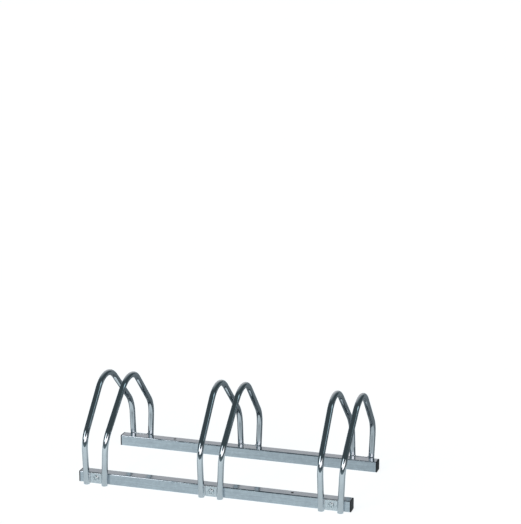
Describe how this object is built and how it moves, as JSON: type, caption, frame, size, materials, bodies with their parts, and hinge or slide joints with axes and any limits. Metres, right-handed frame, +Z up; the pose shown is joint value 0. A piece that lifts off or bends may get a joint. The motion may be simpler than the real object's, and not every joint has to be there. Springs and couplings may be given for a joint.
{
  "type": "bicycle rack",
  "caption": "Floor-standing bicycle rack: square steel rails carry splayed pairs of bent tube hoops, and a wheel stands between the hoops of a pair.",
  "frame": {"origin": "middle of the rack's footprint, on the ground plane", "axes": "+X along the rails, +Y from the front rail to the rear rail, +Z up"},
  "size_m": [0.739, 0.3576, 0.26],
  "materials": {
    "rail_zinc": "bright zinc plating, semi-gloss",
    "hoop_zinc": "bright zinc plating, glossy",
    "plate_zinc": "bright zinc plating, satin",
    "screw_zinc": "bright zinc plating, glossy",
    "nut_zinc": "yellowed zinc plating, satin",
    "cap_black": "moulded black plastic, satin"
  },
  "bodies": {
    "root": {"front_rail": "rail_zinc", "rear_rail": "rail_zinc", "end_cap_front_left": "cap_black", "end_cap_front_right": "cap_black", "end_cap_rear_left": "cap_black", "end_cap_rear_right": "cap_black", "hoop_1_left": "hoop_zinc", "hoop_1_right": "hoop_zinc", "hoop_2_left": "hoop_zinc", "hoop_2_right": "hoop_zinc", "hoop_3_left": "hoop_zinc", "hoop_3_right": "hoop_zinc", "link_plate_front_1": "plate_zinc", "link_plate_front_2": "plate_zinc", "link_plate_front_3": "plate_zinc", "link_plate_rear_1": "plate_zinc", "link_plate_rear_2": "plate_zinc", "link_plate_rear_3": "plate_zinc", "screw_front_1": "screw_zinc", "screw_front_2": "screw_zinc", "screw_front_3": "screw_zinc", "screw_rear_1": "screw_zinc", "screw_rear_2": "screw_zinc", "screw_rear_3": "screw_zinc", "rivet_nut_front_1": "nut_zinc", "rivet_nut_front_2": "nut_zinc", "rivet_nut_front_3": "nut_zinc", "rivet_nut_rear_1": "nut_zinc", "rivet_nut_rear_2": "nut_zinc", "rivet_nut_rear_3": "nut_zinc"}
  },
  "joints": []
}
